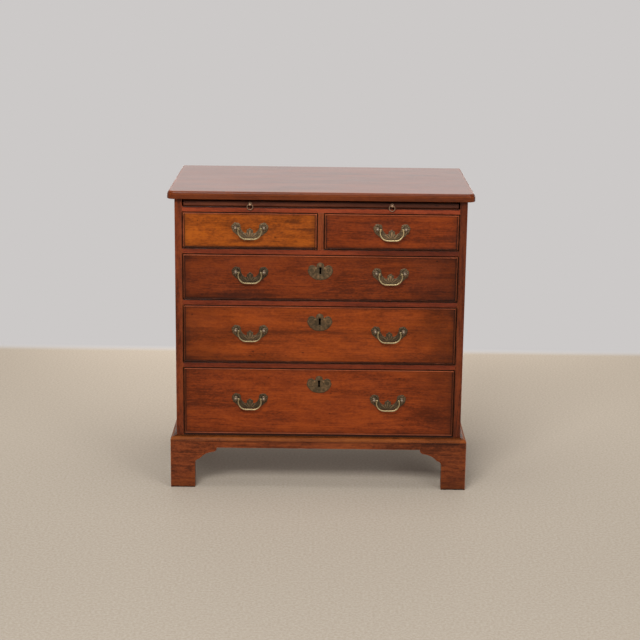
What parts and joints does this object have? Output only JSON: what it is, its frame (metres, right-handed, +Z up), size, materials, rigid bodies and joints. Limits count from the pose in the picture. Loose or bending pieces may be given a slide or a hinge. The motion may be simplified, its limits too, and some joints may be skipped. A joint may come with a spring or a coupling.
{
  "type": "chest of drawers",
  "caption": "Mahogany bachelor's chest with a brushing slide, cockbeaded drawers, brass bail handles, keyhole escutcheons and shaped bracket feet.",
  "frame": {"origin": "on the floor under the middle of the chest's bounding box, handles included", "axes": "+Z up, -Y out of the drawer fronts, X along the front"},
  "size_m": [0.82, 0.486, 0.826],
  "materials": {
    "mahogany": "french-polished mahogany, dark at the edges",
    "mahogany_light": "french-polished lighter golden mahogany",
    "secondary_wood": "bare oak and pine, aged",
    "brass_plate": "dark antiqued cast brass",
    "brass": "antiqued brass, rubbed bright",
    "steel": "old dull steel"
  },
  "bodies": {
    "case": {"top_board": "mahogany", "side_left": "mahogany", "side_right": "mahogany", "back_planks": "secondary_wood", "bottom_board": "mahogany", "drawer_rails": "mahogany", "dust_boards": "secondary_wood", "drawer_divider": "mahogany", "drawer_stops": "secondary_wood", "plinth_front": "mahogany", "plinth_sides": "mahogany", "base_moulding": "mahogany", "plinth_blocks": "secondary_wood", "rear_brackets": "secondary_wood"},
    "slide": {"slide_board": "mahogany", "slide_knobs": "brass"},
    "slide_ring_left": {"slide_ring_left": "brass"},
    "slide_ring_right": {"slide_ring_right": "brass"},
    "short_left_drawer": {"short_left_drawer_front": "mahogany_light", "short_left_drawer_cockbeads": "mahogany", "short_left_drawer_box": "secondary_wood", "short_left_drawer_handle_plates": "brass_plate", "short_left_drawer_handle_posts": "brass"},
    "short_left_drawer_bail": {"short_left_drawer_bail": "brass"},
    "short_right_drawer": {"short_right_drawer_front": "mahogany", "short_right_drawer_cockbeads": "mahogany", "short_right_drawer_box": "secondary_wood", "short_right_drawer_handle_plates": "brass_plate", "short_right_drawer_handle_posts": "brass"},
    "short_right_drawer_bail": {"short_right_drawer_bail": "brass"},
    "upper_drawer": {"upper_drawer_front": "mahogany", "upper_drawer_cockbeads": "mahogany", "upper_drawer_box": "secondary_wood", "upper_drawer_handle_plates": "brass_plate", "upper_drawer_handle_posts": "brass", "upper_drawer_escutcheon": "brass_plate", "upper_drawer_lock": "steel"},
    "upper_drawer_bail_left": {"upper_drawer_bail_left": "brass"},
    "upper_drawer_bail_right": {"upper_drawer_bail_right": "brass"},
    "upper_drawer_lock_bolt": {"upper_drawer_lock_bolt": "steel"},
    "middle_drawer": {"middle_drawer_front": "mahogany", "middle_drawer_cockbeads": "mahogany", "middle_drawer_box": "secondary_wood", "middle_drawer_handle_plates": "brass_plate", "middle_drawer_handle_posts": "brass", "middle_drawer_escutcheon": "brass_plate", "middle_drawer_lock": "steel"},
    "middle_drawer_bail_left": {"middle_drawer_bail_left": "brass"},
    "middle_drawer_bail_right": {"middle_drawer_bail_right": "brass"},
    "middle_drawer_lock_bolt": {"middle_drawer_lock_bolt": "steel"},
    "lower_drawer": {"lower_drawer_front": "mahogany", "lower_drawer_cockbeads": "mahogany", "lower_drawer_box": "secondary_wood", "lower_drawer_handle_plates": "brass_plate", "lower_drawer_handle_posts": "brass", "lower_drawer_escutcheon": "brass_plate", "lower_drawer_lock": "steel"},
    "lower_drawer_bail_left": {"lower_drawer_bail_left": "brass"},
    "lower_drawer_bail_right": {"lower_drawer_bail_right": "brass"},
    "lower_drawer_lock_bolt": {"lower_drawer_lock_bolt": "steel"}
  },
  "joints": [
    {"name": "brushing_slide", "type": "slide", "parent": "case", "child": "slide", "axis": [0, -1, 0], "range_m": [0, 0.28]},
    {"name": "slide_ring_left_swing", "type": "hinge", "parent": "slide", "child": "slide_ring_left", "pos_m": [-0.189, -0.2285, 0.7918], "axis": [-1, 0, 0], "range_deg": [-8, 95]},
    {"name": "slide_ring_right_swing", "type": "hinge", "parent": "slide", "child": "slide_ring_right", "pos_m": [0.189, -0.2285, 0.7918], "axis": [-1, 0, 0], "range_deg": [-8, 95]},
    {"name": "short_left_drawer_run", "type": "slide", "parent": "case", "child": "short_left_drawer", "axis": [0, -1, 0], "range_m": [0, 0.3]},
    {"name": "short_left_drawer_bail_swing", "type": "hinge", "parent": "short_left_drawer", "child": "short_left_drawer_bail", "pos_m": [-0.18962, -0.237, 0.728], "axis": [-1, 0, 0], "range_deg": [-15, 150]},
    {"name": "short_right_drawer_run", "type": "slide", "parent": "case", "child": "short_right_drawer", "axis": [0, -1, 0], "range_m": [0, 0.3]},
    {"name": "short_right_drawer_bail_swing", "type": "hinge", "parent": "short_right_drawer", "child": "short_right_drawer_bail", "pos_m": [0.18962, -0.237, 0.728], "axis": [-1, 0, 0], "range_deg": [-15, 150]},
    {"name": "upper_drawer_run", "type": "slide", "parent": "case", "child": "upper_drawer", "axis": [0, -1, 0], "range_m": [0, 0.3]},
    {"name": "upper_drawer_bail_left_swing", "type": "hinge", "parent": "upper_drawer", "child": "upper_drawer_bail_left", "pos_m": [-0.189, -0.237, 0.6077], "axis": [-1, 0, 0], "range_deg": [-15, 150]},
    {"name": "upper_drawer_bail_right_swing", "type": "hinge", "parent": "upper_drawer", "child": "upper_drawer_bail_right", "pos_m": [0.189, -0.237, 0.6077], "axis": [-1, 0, 0], "range_deg": [-15, 150]},
    {"name": "upper_drawer_lock_bolt_throw", "type": "slide", "parent": "upper_drawer", "child": "upper_drawer_lock_bolt", "axis": [0, 0, 1], "range_m": [0, 0.007]},
    {"name": "middle_drawer_run", "type": "slide", "parent": "case", "child": "middle_drawer", "axis": [0, -1, 0], "range_m": [0, 0.3]},
    {"name": "middle_drawer_bail_left_swing", "type": "hinge", "parent": "middle_drawer", "child": "middle_drawer_bail_left", "pos_m": [-0.189, -0.237, 0.4466], "axis": [-1, 0, 0], "range_deg": [-15, 150]},
    {"name": "middle_drawer_bail_right_swing", "type": "hinge", "parent": "middle_drawer", "child": "middle_drawer_bail_right", "pos_m": [0.189, -0.237, 0.4466], "axis": [-1, 0, 0], "range_deg": [-15, 150]},
    {"name": "middle_drawer_lock_bolt_throw", "type": "slide", "parent": "middle_drawer", "child": "middle_drawer_lock_bolt", "axis": [0, 0, 1], "range_m": [0, 0.007]},
    {"name": "lower_drawer_run", "type": "slide", "parent": "case", "child": "lower_drawer", "axis": [0, -1, 0], "range_m": [0, 0.3]},
    {"name": "lower_drawer_bail_left_swing", "type": "hinge", "parent": "lower_drawer", "child": "lower_drawer_bail_left", "pos_m": [-0.189, -0.237, 0.2543], "axis": [-1, 0, 0], "range_deg": [-15, 150]},
    {"name": "lower_drawer_bail_right_swing", "type": "hinge", "parent": "lower_drawer", "child": "lower_drawer_bail_right", "pos_m": [0.189, -0.237, 0.2543], "axis": [-1, 0, 0], "range_deg": [-15, 150]},
    {"name": "lower_drawer_lock_bolt_throw", "type": "slide", "parent": "lower_drawer", "child": "lower_drawer_lock_bolt", "axis": [0, 0, 1], "range_m": [0, 0.007]}
  ]
}
